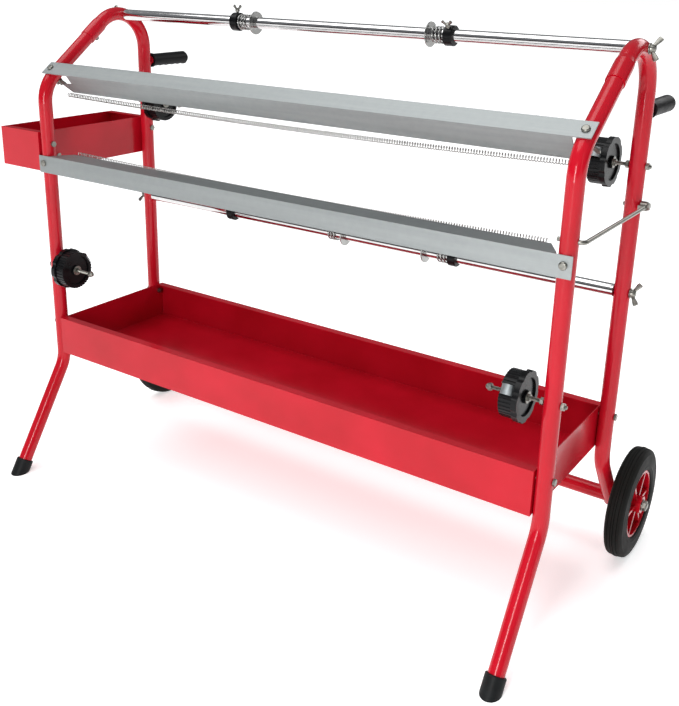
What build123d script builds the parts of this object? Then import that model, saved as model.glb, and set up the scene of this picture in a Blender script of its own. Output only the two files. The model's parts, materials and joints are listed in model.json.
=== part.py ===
"""Mobile masking-paper dispenser: a bent-tube trolley on two wheels and two feet.

Two side frames of bent tube carry a deep tray and a narrow side tray, two tear-off
bars with long coil springs, two tubes for tape rolls and four spool hubs for paper.
Millimetres, +Z up, +X to the right, +Y to the wheels. The origin is on the floor,
in the middle of the footprint.
"""

import os
from math import atan2, cos, degrees, radians, sin, tan

from build123d import *

os.makedirs("parts", exist_ok=True)

# ---------------------------------------------------------------- driving sizes
frame_spacing = 1030.0      # between the tube axes of the two side frames
frame_depth = 256.0         # front tube axis to rear tube axis
tube_d = 25.4
tube_wall = 1.5
slope_angle = 36.7          # rise of the sloping top run, from level
shoulder_height = 747.0     # where the front tube's axis would meet the slope
shoulder_bend_r = 65.0
arch_r = 68.0
leg_bend_height = 203.0     # corner of the front leg
front_leg_angle = 32.5      # from upright
rear_leg_angle = 36.0
rear_leg_drop = 101.0       # from the rear leg's corner down to the axle
leg_bend_r = 70.0
rear_leg_tail = 16.0        # leg left beyond the axle

seam_to_arch = 1.8          # straight tube left between the socket's cone and the arch
socket_length = 37.0
socket_cone = 8.0
socket_wall = 1.3
seam_screw_run = 17.0       # socket's mouth to its screw

wheel_d = 195.0
tyre_width = 32.0
rim_d = 120.0
rim_width = 27.0
hub_d = 30.0
hub_length = 40.0
spoke_count = 6
axle_d = 12.0
rim_edge_r = 1.5
spoke_thickness = 5.0
rim_web = 6.0
hub_gap = 5.0               # leg to hub, filled by a spacer
axle_nut_height = 9.0
axle_nut_width = 16.0
axle_washer = 1.6
axle_washer_d = 20.0
axle_tip = 1.5              # rod left outside its nuts

foot_cap_d = 32.0
foot_cap_length = 27.0
foot_lift = 13.0            # floor to the end of the tube, along the leg

grip_height = 776.0
grip_stub_d = 17.0
grip_d = 25.0
grip_length = 104.0
grip_start = 17.0           # rear tube axis to the grip
grip_end_wall = 4.0
grip_collar = 4.0
grip_nose = 8.0
grip_rim = 1.5
grip_fingers = 5
grip_wave = 1.6

sheet = 1.5
tray_height = 73.0
tray_top = 295.5
tray_lip = 14.0
side_tray_width = 108.0
side_tray_top = 661.0
tray_bolt_drop = 14.0
side_tray_bolt_drop = 21.0

bar_sheet = 1.6
bar_overhang = 12.0         # bar past the tube axis
upper_bar_width = 30.0
upper_bar_flange = 42.0
flange_relief = 20.0        # depth cut back beside the left tube
flange_gap_left = 42.0      # tube to the flange, within that depth
flange_gap_right = 1.0
flange_horn = 29.0          # left end of the flange below the relief
flange_horn_taper = 20.0
upper_bar_run = 33.0        # along the slope, from the shoulder to the bar's bolt
lower_bar_top = 618.5
lower_bar_height = 32.0
lower_bar_flange = 44.0
lower_bar_bolt_drop = 14.5
lower_bar_gap = 1.0         # tube to the flange
lower_bar_taper = 22.0
lower_bar_square = 8.0      # flange depth before its ends taper
bar_bolt_tail = 13.0

paper_spring_d = 8.0
paper_spring_wire = 1.4
paper_spring_sag = 6.0
paper_spring_drop = 1.2     # flange to spring

tape_tube_d = 20.0
tape_tube_wall = 1.5
tape_tube_cap = 8.0         # thickness of its closed, tapped ends
top_tape_tube_angle = 11.5  # past the top of the arch
lower_tape_tube_height = 495.0
wing_bolt_d = 6.0

collar_d = 32.0
collar_width = 15.5
collar_screw_d = 5.0
coil_d = 28.0
coil_wire = 1.8
coil_length = 22.0
ring_d = 40.0
ring_thickness = 2.0
coil_gap = 0.3

spindle_d = 6.0
spindle_length = 118.0
spindle_tail = 3.0          # past the outer nut
upper_spindle_height = 695.0
lower_spindle_height = 400.0
left_hub_inset = 42.0       # tube axis to the middle of the spool hub
right_hub_inset = 52.0
spool_d = 71.0
spool_width = 29.5
spool_flange_d = 77.0
spool_flange = 9.0
spool_notch_count = 9
spool_rib_count = 36
spool_rib_depth = 1.2
leaf_width = 15.0
leaf_thickness = 1.0
leaf_rise = 2.6
leaf_seat_depth = 3.0
hub_washer_d = 18.0
hub_washer = 1.2
hub_nut_height = 3.2
hub_dish = 3.0              # depth of the dish in each face of a hub
hub_dish_rim = 7.0
acorn_length = 5.0
acorn_r = 4.6
jam_nut_height = 5.0

brace_height = 635.0
brace_d = 6.0
brace_bend_r = 8.0
brace_eye_d = 15.0
brace_reach = 8.0           # axis of the rod beyond the outside of the tubes

m6 = 6.0
m6_hole = 6.4
joint_screw_head_d = 9.6
joint_screw_head_height = 4.0
m6_nut_width = 10.0
m6_nut_height = 5.0
m6_head_d = 12.0
m6_head_height = 3.5

running_fit = 0.05          # radial, between a shaft and what turns or slides on it
loose_fit = 0.4             # radial, where a piece slides loosely
face_gap = 0.3              # between faces of pieces that move past each other
seat_gap = 0.1              # between a curved face and what is bolted or welded to it

# ---------------------------------------------------------------- derived places
tube_r = tube_d / 2
bore_r = tube_r - tube_wall
half_spacing = frame_spacing / 2
wheel_r = wheel_d / 2
axle_z = wheel_r
rear_leg_bend_height = axle_z + rear_leg_drop
axle_back = frame_depth + rear_leg_drop * tan(radians(rear_leg_angle))
foot_reach = leg_bend_height * tan(radians(front_leg_angle))
foot_half = foot_cap_d / 2 / cos(radians(front_leg_angle))

hub_inner = half_spacing + tube_r + hub_gap
wheel_mid = hub_inner + hub_length / 2
axle_half = hub_inner + hub_length + axle_nut_height

# The side tray sticks out on the left only, so the frame stands a little to the right.
mid_x = (half_spacing + tube_r + side_tray_width - axle_half) / 2
front_y = (foot_reach + foot_half - axle_back - wheel_r) / 2
rear_y = front_y + frame_depth
axle_y = front_y + axle_back
sides = {"left": -1, "right": 1}


def side_x(side, inset=0.0):
    """X of a point on one side, inset towards the middle from the tube axis."""
    return mid_x + sides[side] * (half_spacing - inset)


slope = Vector(0, cos(radians(slope_angle)), sin(radians(slope_angle)))
slope_normal = Vector(0, -slope.Z, slope.Y)
shoulder = Vector(0, front_y, shoulder_height)
arch_corner_z = shoulder_height + frame_depth * tan(radians(slope_angle))
arch_tangent = arch_r / tan(radians(90 - slope_angle) / 2)
slope_run = frame_depth / cos(radians(slope_angle))
socket_run = slope_run - arch_tangent - seam_to_arch - socket_cone - socket_length
seam = shoulder + slope * socket_run
arch_center = Vector(0, rear_y - arch_r, arch_corner_z - arch_tangent)
top_tape = arch_center + Vector(
    0, arch_r * sin(radians(top_tape_tube_angle)), arch_r * cos(radians(top_tape_tube_angle))
)
tape_axes = {
    "top": top_tape,
    "lower": Vector(0, rear_y, lower_tape_tube_height),
}
front_leg = Vector(0, sin(radians(front_leg_angle)), cos(radians(front_leg_angle)))
rear_leg = Vector(0, sin(radians(rear_leg_angle)), -cos(radians(rear_leg_angle)))
foot_point = Vector(0, front_y - foot_reach, 0)
axle_point = Vector(0, axle_y, axle_z)

spindle_axes = {
    "upper": (rear_y, upper_spindle_height),
    "lower": (front_y, lower_spindle_height),
}
tray_bolt_z = tray_top - tray_bolt_drop
side_tray_bolt_z = side_tray_top - side_tray_bolt_drop
lower_bar_bolt_z = lower_bar_top - lower_bar_bolt_drop
socket_bore_r = tube_r + running_fit
socket_r = socket_bore_r + socket_wall
socket_end = seam + slope * socket_length
insert_end = seam + slope * (socket_length - face_gap)
screw_seat = seam + slope * seam_screw_run


def write(piece, name):
    """Label one finished piece and write its STEP file."""
    piece.part.label = name
    export_step(piece.part, f"parts/{name}.step")


def cross_holes(x, places, diameter):
    """Drill holes along X through the tube at x, at each (y, z)."""
    with BuildSketch(Plane.YZ.offset(x - tube_d)) as holes:
        with Locations(*places):
            Circle(diameter / 2)
    extrude(holes.sketch, amount=2 * tube_d, mode=Mode.SUBTRACT)


def ring_along(plane, outer_r, inner_r, length):
    """Add a round sleeve that starts on the plane and runs along its normal."""
    with BuildSketch(plane) as profile:
        Circle(outer_r)
        Circle(inner_r, mode=Mode.SUBTRACT)
    extrude(profile.sketch, amount=length)


def hex_nut(plane, hole_d, width=m6_nut_width, height=m6_nut_height):
    """Add a hexagon nut seated on the plane."""
    with BuildSketch(plane) as profile:
        RegularPolygon(width / 2, 6, major_radius=False)
        Circle(hole_d / 2, mode=Mode.SUBTRACT)
    extrude(profile.sketch, amount=height)


def wings(plane, root_r, base, span, rise, thickness):
    """Add two wings that stand on a boss of root_r, spread along the plane's X."""
    upright = Plane(plane.origin, x_dir=plane.x_dir, z_dir=-plane.y_dir)
    with BuildSketch(upright) as profile:
        with BuildLine():
            Polyline(
                (root_r - 1, base),
                (root_r + 1, base - 1),
                (span, rise - 5),
                (span, rise),
                (span - 4, rise + 1),
                (root_r - 1, base + 5),
                close=True,
            )
        make_face()
        mirror(about=Plane.YZ)
    extrude(profile.sketch, amount=thickness / 2, both=True)


def wing_nut(plane, hole_d, boss_r=5.5, height=7.0):
    """Add a wing nut seated on the plane."""
    ring_along(plane, boss_r, hole_d / 2, height)
    wings(plane, boss_r, height - 5.5, 14.0, height + 6.0, 2.6)


def along_x(x, y, z, direction=1):
    """A plane at a point whose normal runs along X, to the right or left."""
    return Plane((x, y, z), x_dir=(0, 1, 0), z_dir=(direction, 0, 0))


# ---------------------------------------------------------------- side frames
for side in sides:
    x = side_x(side)
    tube_plane = Plane.YZ.offset(x)

    tube_end = foot_point + front_leg * foot_lift
    with BuildPart() as front_tube:
        with BuildLine(tube_plane) as path:
            FilletPolyline(
                (tube_end.Y, tube_end.Z),
                (front_y, leg_bend_height),
                (front_y, shoulder_height),
                (insert_end.Y, insert_end.Z),
                radius=[leg_bend_r, shoulder_bend_r],
            )
        with BuildSketch(Plane(path.line ^ 0)):
            Circle(tube_r)
            Circle(bore_r, mode=Mode.SUBTRACT)
        sweep(path=path.line)
        bolt_places = [(front_y, tray_bolt_z), (front_y, lower_spindle_height)]
        if side == "left":
            bolt_places.append((front_y, side_tray_bolt_z))
        cross_holes(x, bolt_places, m6_hole)
        if side == "right":
            cross_holes(x, [(front_y, brace_height)], brace_d + 2 * running_fit)
        bar_bolt = shoulder + slope * upper_bar_run
        with BuildSketch(Plane((x, front_y, lower_bar_bolt_z), z_dir=(0, 1, 0))):
            Circle(m6_hole / 2)
        extrude(amount=tube_d, both=True, mode=Mode.SUBTRACT)
        with BuildSketch(Plane((x, bar_bolt.Y, bar_bolt.Z), x_dir=(1, 0, 0), z_dir=slope_normal)):
            Circle(m6_hole / 2)
        extrude(amount=tube_d, both=True, mode=Mode.SUBTRACT)
        screw_plane = Plane((x, screw_seat.Y, screw_seat.Z), x_dir=(1, 0, 0), z_dir=-slope_normal)
        with BuildSketch(screw_plane):
            Circle(m6_hole / 2)
        extrude(amount=tube_d, mode=Mode.SUBTRACT)
    write(front_tube, f"{side}_front_tube")

    leg_end = axle_point + rear_leg * rear_leg_tail
    with BuildPart() as rear_tube:
        with BuildLine(tube_plane) as path:
            cone_end = socket_end + slope * socket_cone
            FilletPolyline(
                (cone_end.Y, cone_end.Z),
                (rear_y, arch_corner_z),
                (rear_y, rear_leg_bend_height),
                (leg_end.Y, leg_end.Z),
                radius=[arch_r, leg_bend_r],
            )
        with BuildSketch(Plane(path.line ^ 0)):
            Circle(tube_r)
            Circle(bore_r, mode=Mode.SUBTRACT)
        sweep(path=path.line)
        # The front end is swaged out into a socket, with a short cone behind it.
        with BuildSketch(tube_plane):
            with BuildLine(Plane((seam.Y, seam.Z, 0), x_dir=(slope.Y, slope.Z, 0))):
                Polyline(
                    (0, socket_bore_r),
                    (0, socket_r),
                    (socket_length, socket_r),
                    (socket_length + socket_cone, tube_r),
                    (socket_length + socket_cone, bore_r),
                    (socket_length, socket_bore_r),
                    close=True,
                )
            make_face()
        revolve(axis=Axis((x, seam.Y, seam.Z), slope))
        stub_start = rear_y + bore_r + tube_wall / 2
        stub_end = rear_y + grip_start + grip_length - grip_end_wall - seat_gap
        ring_along(
            Plane((x, stub_start, grip_height), x_dir=(1, 0, 0), z_dir=(0, 1, 0)),
            grip_stub_d / 2,
            grip_stub_d / 2 - tube_wall,
            stub_end - stub_start,
        )
        bolt_places = [
            (rear_y, tray_bolt_z),
            (rear_y, upper_spindle_height),
            (top_tape.Y, top_tape.Z),
            (rear_y, lower_tape_tube_height),
        ]
        bolt_places.append((rear_y, side_tray_bolt_z if side == "left" else brace_height))
        cross_holes(x, bolt_places, m6_hole)
        cross_holes(x, [(axle_y, axle_z)], axle_d + 2 * seat_gap)
        with BuildSketch(screw_plane):
            Circle(m6_hole / 2)
        extrude(amount=tube_d, mode=Mode.SUBTRACT)
    write(rear_tube, f"{side}_rear_tube")

    cap_plane = Plane((x, foot_point.Y, 0), x_dir=(1, 0, 0), z_dir=front_leg)
    with BuildPart() as foot_cap:
        with BuildSketch(cap_plane.offset(-foot_cap_d / 2)):
            Circle(foot_cap_d / 2)
        extrude(amount=foot_cap_length + foot_cap_d / 2)
        fillet(foot_cap.edges().sort_by(Axis.Z)[-1], 2.0)
        with BuildSketch(cap_plane.offset(foot_lift - seat_gap)):
            Circle(tube_r + seat_gap)
        extrude(amount=foot_cap_length, mode=Mode.SUBTRACT)
        split(bisect_by=Plane.XY, keep=Keep.TOP)
    write(foot_cap, f"{side}_foot_cap")

    with BuildPart() as grip:
        y0 = rear_y + grip_start
        y1 = y0 + grip_length
        r = grip_d / 2
        with BuildSketch(Plane.YZ.offset(x)):
            with BuildLine():
                bore = grip_height + grip_stub_d / 2 + seat_gap
                Polyline(
                    (y0, bore),
                    (y0, grip_height + r + grip_rim),
                    (y0 + grip_collar, grip_height + r + grip_rim),
                    (y0 + grip_collar, grip_height + r),
                    (y1 - grip_nose, grip_height + r + grip_rim / 2),
                    (y1 - grip_nose / 3, grip_height + r - grip_nose / 3),
                    (y1, grip_height + r - grip_nose),
                    (y1, grip_height),
                    (y1 - grip_end_wall, grip_height),
                    (y1 - grip_end_wall, bore),
                    (y0, bore),
                )
            make_face()
        revolve(axis=Axis((x, 0, grip_height), (0, 1, 0)))
        # Finger grooves across the underside.
        finger = (grip_length - grip_collar - 2 * grip_nose) / grip_fingers
        groove_r = (finger**2 / 4 + grip_wave**2) / (2 * grip_wave)
        with BuildSketch(Plane.YZ.offset(x - grip_d)):
            for k in range(grip_fingers):
                groove_y = y0 + grip_collar + grip_nose / 2 + (k + 0.5) * finger
                with Locations((groove_y, grip_height - r + grip_wave - groove_r)):
                    Circle(groove_r)
        extrude(amount=2 * grip_d, mode=Mode.SUBTRACT)
    write(grip, f"{side}_grip")

# ---------------------------------------------------------------- axle
with BuildPart() as axle_tube:
    ring_along(along_x(side_x("left"), axle_y, axle_z), tube_r, bore_r, frame_spacing)
    for side in sides:
        leg_start = axle_point - rear_leg * tube_d * 2
        with BuildSketch(
            Plane((side_x(side), leg_start.Y, leg_start.Z), x_dir=(1, 0, 0), z_dir=rear_leg)
        ):
            Circle(tube_r + seat_gap)
        extrude(amount=tube_d * 4, mode=Mode.SUBTRACT)
write(axle_tube, "axle_tube")

with BuildPart() as axle_rod:
    with BuildSketch(along_x(mid_x - axle_half, axle_y, axle_z)):
        Circle(axle_d / 2)
    extrude(amount=2 * axle_half)
    chamfer(axle_rod.edges().filter_by(GeomType.CIRCLE), 1.0)
write(axle_rod, "axle_rod")

with BuildPart() as axle_nuts:
    for side, sign in sides.items():
        inner = mid_x + sign * (half_spacing + tube_r + seat_gap)
        ring_along(
            along_x(inner, axle_y, axle_z, sign),
            axle_washer_d / 2,
            axle_d / 2 + seat_gap,
            hub_gap - seat_gap - face_gap,
        )
        outer = mid_x + sign * (hub_inner + hub_length + face_gap)
        ring_along(
            along_x(outer, axle_y, axle_z, sign),
            axle_washer_d / 2,
            axle_d / 2 + seat_gap,
            axle_washer,
        )
        hex_nut(
            along_x(outer + sign * axle_washer, axle_y, axle_z, sign),
            axle_d + 2 * seat_gap,
            axle_nut_width,
            axle_nut_height - axle_washer - face_gap - axle_tip,
        )
write(axle_nuts, "axle_nuts")

# ---------------------------------------------------------------- wheels
for side, sign in sides.items():
    x = mid_x + sign * wheel_mid
    axis = Axis((x, axle_y, axle_z), (1, 0, 0))
    seat_r = rim_d / 2
    w = tyre_width / 2
    with BuildPart() as tyre:
        with BuildSketch(Plane((x, axle_y, axle_z), x_dir=(1, 0, 0), z_dir=(0, -1, 0))):
            with BuildLine():
                ridge = 0.8
                Polyline((-w + 3, seat_r), (-w + 1, seat_r + 2), (-w, seat_r + 12))
                ThreePointArc(
                    (-w, seat_r + 12), (-w + 1.5, wheel_r - 9), (-w + 5, wheel_r - ridge - 1.5)
                )
                Polyline(
                    (-w + 5, wheel_r - ridge - 1.5),
                    (-2.5, wheel_r - ridge),
                    (-1, wheel_r),
                    (1, wheel_r),
                    (2.5, wheel_r - ridge),
                    (w - 5, wheel_r - ridge - 1.5),
                )
                ThreePointArc(
                    (w - 5, wheel_r - ridge - 1.5), (w - 1.5, wheel_r - 9), (w, seat_r + 12)
                )
                Polyline((w, seat_r + 12), (w - 1, seat_r + 2), (w - 3, seat_r), (-w + 3, seat_r))
            make_face()
        revolve(axis=axis)
    write(tyre, f"{side}_tyre")

    with BuildPart() as rim:
        barrel_plane = along_x(x - rim_width / 2, axle_y, axle_z)
        ring_along(barrel_plane, seat_r - seat_gap, seat_r - 5, rim_width)
        ring_along(along_x(x - rim_web / 2, axle_y, axle_z), seat_r - 4, axle_d, rim_web)
        ring_along(
            along_x(x - hub_length / 2, axle_y, axle_z),
            hub_d / 2,
            axle_d / 2 + running_fit,
            hub_length,
        )
        with BuildSketch(along_x(x - rim_width / 2 + 2, axle_y, axle_z)):
            with PolarLocations(0, spoke_count):
                with Locations(((seat_r - 4 + hub_d / 2 - 1) / 2, 0)):
                    Rectangle(seat_r - 4 - hub_d / 2 + 1, spoke_thickness)
        extrude(amount=rim_width - 4)
        fillet(rim.edges().filter_by(GeomType.CIRCLE).group_by(SortBy.RADIUS)[-1], rim_edge_r)
    write(rim, f"{side}_rim")

# ---------------------------------------------------------------- trays
tray_front = front_y - tube_r
tray_depth = frame_depth + tube_d


def open_tray(x_low, x_high, top, bolt_x, bolt_z):
    """Add an open tray between two X values, with a folded lip front and rear."""
    width = x_high - x_low
    center_x = (x_low + x_high) / 2
    center_y = tray_front + tray_depth / 2
    with BuildSketch(Plane.XY.offset(top - tray_height)) as outside:
        with Locations((center_x, center_y)):
            Rectangle(width, tray_depth)
    extrude(outside.sketch, amount=tray_height)
    with BuildSketch(Plane.XY.offset(top - tray_height + sheet)) as inside:
        with Locations((center_x, center_y)):
            Rectangle(width - 2 * sheet, tray_depth - 2 * sheet)
    extrude(inside.sketch, amount=tray_height, mode=Mode.SUBTRACT)
    with BuildSketch(Plane.XY.offset(top - sheet)) as lips:
        with Locations((center_x, center_y)):
            with GridLocations(0, tray_depth - 2 * sheet - tray_lip, 1, 2):
                Rectangle(width - 2 * sheet, tray_lip)
    extrude(lips.sketch, amount=sheet)
    for hole_x in bolt_x:
        with BuildSketch(Plane.YZ.offset(hole_x)) as holes:
            with Locations((front_y, bolt_z), (rear_y, bolt_z)):
                Circle(m6_hole / 2)
        extrude(holes.sketch, amount=sheet * 4, both=True, mode=Mode.SUBTRACT)


tray_half = half_spacing - tube_r - seat_gap
with BuildPart() as main_tray:
    open_tray(
        mid_x - tray_half,
        mid_x + tray_half,
        tray_top,
        [mid_x - tray_half, mid_x + tray_half],
        tray_bolt_z,
    )
write(main_tray, "main_tray")

side_tray_inner = side_x("left") - tube_r - seat_gap
side_tray_outer = side_x("left") - tube_r - side_tray_width
with BuildPart() as side_tray:
    open_tray(side_tray_outer, side_tray_inner, side_tray_top, [side_tray_inner], side_tray_bolt_z)
write(side_tray, "side_tray")

# Through bolts: head against the tube's far side, nut inside the tray.
through_length = tube_d + 2 * seat_gap + sheet + m6_nut_height + 2
tray_bolt_places = []
for side, sign in sides.items():
    for y in (front_y, rear_y):
        tray_bolt_places.append((side_x(side) + sign * (tube_r + seat_gap), y, tray_bolt_z, -sign))
for y in (front_y, rear_y):
    tray_bolt_places.append((side_x("left") + tube_r + seat_gap, y, side_tray_bolt_z, -1))
with BuildPart() as tray_bolts:
    for x, y, z, direction in tray_bolt_places:
        with BuildSketch(along_x(x, y, z, direction)):
            Circle(m6 / 2)
        extrude(amount=through_length)
        with BuildSketch(along_x(x, y, z, -direction)):
            RegularPolygon(m6_nut_width / 2, 6, major_radius=False)
        extrude(amount=m6_head_height)
write(tray_bolts, "tray_bolts")

with BuildPart() as tray_nuts:
    for x, y, z, direction in tray_bolt_places:
        seat = x + direction * (tube_d + 2 * seat_gap + sheet + seat_gap)
        hex_nut(along_x(seat, y, z, direction), m6 + 2 * seat_gap)
write(tray_nuts, "tray_nuts")

# ---------------------------------------------------------------- tear-off bars
bar_half = half_spacing + bar_overhang
bar_seat = shoulder + slope * upper_bar_run + slope_normal * (tube_r + seat_gap)
upper_section = Plane(
    (mid_x - bar_half, bar_seat.Y, bar_seat.Z), x_dir=slope, z_dir=(1, 0, 0)
)
with BuildPart() as upper_bar:
    low = -upper_bar_width / 2
    with BuildSketch(upper_section):
        with BuildLine():
            Polyline(
                (low, bar_sheet),
                (-low, bar_sheet),
                (-low, 0),
                (low + bar_sheet, 0),
                (low + bar_sheet, bar_sheet - upper_bar_flange),
                (low, bar_sheet - upper_bar_flange),
                close=True,
            )
        make_face()
    extrude(amount=2 * bar_half)
    # The flange is cut back beside the tubes. Its left end has a horn below the relief.
    flange_origin = bar_seat + slope * (low - 1)
    flange_face = Plane((mid_x, flange_origin.Y, flange_origin.Z), x_dir=(1, 0, 0), z_dir=slope)
    flange_left = -(half_spacing - tube_r - flange_gap_left)
    flange_right = half_spacing - tube_r - flange_gap_right
    below = upper_bar_flange + 1
    with BuildSketch(flange_face):
        with BuildLine():
            Polyline(
                (flange_left, 0),
                (flange_left, flange_relief),
                (flange_left - flange_horn, flange_relief + 1),
                (flange_left - flange_horn + flange_horn_taper, below),
                (-bar_half - 1, below),
                (-bar_half - 1, 0),
                close=True,
            )
        make_face()
        with BuildLine():
            Polyline(
                (flange_right, 0),
                (flange_right, below),
                (bar_half + 1, below),
                (bar_half + 1, 0),
                close=True,
            )
        make_face()
    extrude(amount=bar_sheet + 2, mode=Mode.SUBTRACT)
    for side in sides:
        with BuildSketch(
            Plane((side_x(side), bar_seat.Y, bar_seat.Z), x_dir=(1, 0, 0), z_dir=slope_normal)
        ):
            Circle(m6_hole / 2)
        extrude(amount=bar_sheet * 2, both=True, mode=Mode.SUBTRACT)
write(upper_bar, "upper_cutter_bar")

lower_face_y = front_y - tube_r - seat_gap
with BuildPart() as lower_bar:
    with BuildSketch(Plane.XZ.offset(-(lower_face_y - bar_sheet))):
        with Locations((mid_x, lower_bar_top - lower_bar_height / 2)):
            Rectangle(2 * bar_half, lower_bar_height)
    extrude(amount=-bar_sheet)
    with BuildSketch(Plane.XY.offset(lower_bar_top - bar_sheet)):
        with BuildLine():
            edge = half_spacing - tube_r - lower_bar_gap
            y0 = lower_face_y - bar_sheet
            y1 = y0 + lower_bar_flange
            Polyline(
                (mid_x - edge, y0),
                (mid_x - edge, y0 + lower_bar_square),
                (mid_x - edge + lower_bar_taper, y1),
                (mid_x + edge - lower_bar_taper, y1),
                (mid_x + edge, y0 + lower_bar_square),
                (mid_x + edge, y0),
                close=True,
            )
        make_face()
    extrude(amount=bar_sheet)
    with BuildSketch(Plane.XZ.offset(-(lower_face_y - bar_sheet))):
        with Locations(*[(side_x(side), lower_bar_bolt_z) for side in sides]):
            Circle(m6_hole / 2)
    extrude(amount=-bar_sheet * 2, both=True, mode=Mode.SUBTRACT)
write(lower_bar, "lower_cutter_bar")

bar_bolt_planes = []
for side in sides:
    face = bar_seat + slope_normal * (bar_sheet + seat_gap)
    bar_bolt_planes.append(
        Plane((side_x(side), face.Y, face.Z), x_dir=(1, 0, 0), z_dir=slope_normal)
    )
    bar_bolt_planes.append(
        Plane(
            (side_x(side), lower_face_y - bar_sheet - seat_gap, lower_bar_bolt_z),
            x_dir=(1, 0, 0),
            z_dir=(0, -1, 0),
        )
    )
bar_bolt_grip = bar_sheet + tube_d + 3 * seat_gap
with BuildPart() as bar_bolts:
    for plane in bar_bolt_planes:
        with BuildSketch(plane):
            Circle(m6_head_d / 2)
        extrude(amount=m6_head_height)
        with BuildSketch(plane):
            Circle(m6 / 2)
        extrude(amount=-(bar_bolt_grip + bar_bolt_tail))
    dome_edges = bar_bolts.edges().filter_by(GeomType.CIRCLE).group_by(SortBy.RADIUS)[-1]
    outer_edges = [
        edge
        for edge in dome_edges
        if any(abs(p.to_local_coords(edge.arc_center).Z - m6_head_height) < 0.01
               for p in bar_bolt_planes)
    ]
    fillet(outer_edges, 2.2)
write(bar_bolts, "cutter_bar_bolts")

with BuildPart() as bar_wing_nuts:
    for plane in bar_bolt_planes:
        seat = plane.offset(-(bar_bolt_grip + loose_fit))
        # Wings across the upright tubes, but along the sloping ones.
        span = seat.y_dir if plane.z_dir.Z == 0 else seat.x_dir
        wing_nut(Plane(seat.origin, x_dir=span, z_dir=-seat.z_dir), m6 + 2 * seat_gap)
write(bar_wing_nuts, "cutter_bar_wing_nuts")

with BuildPart() as joint_screws:
    for side in sides:
        seat = screw_seat - slope_normal * (socket_r + seat_gap)
        plane = Plane((side_x(side), seat.Y, seat.Z), x_dir=(1, 0, 0), z_dir=-slope_normal)
        with BuildSketch(plane):
            Circle(joint_screw_head_d / 2)
        extrude(amount=joint_screw_head_height, taper=12)
        with BuildSketch(plane):
            Circle(m6 / 2)
        extrude(amount=-(socket_wall + tube_wall + 3))
write(joint_screws, "frame_joint_screws")

# ---------------------------------------------------------------- long paper springs
flange_tip = bar_seat + slope * (-upper_bar_width / 2) - slope_normal * (upper_bar_flange - bar_sheet)
upper_spring_z = flange_tip.Z - paper_spring_d / 2 - paper_spring_drop
lower_spring_y = y1 + paper_spring_d / 2 + paper_spring_drop
lower_spring_z = lower_bar_top + paper_spring_drop
lower_reach = edge - lower_bar_taper - paper_spring_d
spring_lines = {
    "upper": (flange_tip.Y, upper_spring_z, flange_left - flange_horn + 5, flange_right - 2),
    "lower": (lower_spring_y, lower_spring_z, -lower_reach, lower_reach),
}
for name, (y, z, left_end, right_end) in spring_lines.items():
    with BuildPart() as paper_spring:
        with BuildLine(Plane.XZ.offset(-y)) as path:
            ThreePointArc(
                (mid_x + left_end, z),
                (mid_x + (left_end + right_end) / 2, z - paper_spring_sag),
                (mid_x + right_end, z),
            )
        with BuildSketch(Plane(path.line ^ 0)):
            Circle(paper_spring_d / 2)
            Circle(paper_spring_d / 2 - paper_spring_wire, mode=Mode.SUBTRACT)
        sweep(path=path.line)
    write(paper_spring, f"{name}_paper_spring")

# ---------------------------------------------------------------- tape tubes
tape_tube_half = half_spacing - tube_r - seat_gap
for name, axis_point in tape_axes.items():
    with BuildPart() as tape_tube:
        start = along_x(mid_x - tape_tube_half, axis_point.Y, axis_point.Z)
        with BuildSketch(start):
            Circle(tape_tube_d / 2)
        extrude(amount=2 * tape_tube_half)
        with BuildSketch(start.offset(tape_tube_cap)):
            Circle(tape_tube_d / 2 - tape_tube_wall)
        extrude(amount=2 * (tape_tube_half - tape_tube_cap), mode=Mode.SUBTRACT)
        with BuildSketch(start):
            Circle(wing_bolt_d / 2 + seat_gap)
        extrude(amount=2 * tape_tube_half, mode=Mode.SUBTRACT)
    write(tape_tube, f"{name}_tape_tube")

with BuildPart() as tape_wing_bolts:
    for axis_point in tape_axes.values():
        for side, sign in sides.items():
            face = side_x(side) + sign * (tube_r + seat_gap)
            outer = along_x(face, axis_point.Y, axis_point.Z, sign)
            ring_along(outer, 8.0, wing_bolt_d / 4, 1.6)
            with BuildSketch(outer):
                Circle(6.0)
            extrude(amount=9.0)
            turned = Plane(outer.origin, x_dir=(0, sin(radians(28)), cos(radians(28))),
                           z_dir=(sign, 0, 0))
            wings(turned, 6.0, 3.5, 19.0, 13.0, 3.0)
            with BuildSketch(outer):
                Circle(wing_bolt_d / 2)
            extrude(amount=-(tube_d + 2 * seat_gap + tape_tube_cap))
write(tape_wing_bolts, "tape_tube_wing_bolts")

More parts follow.
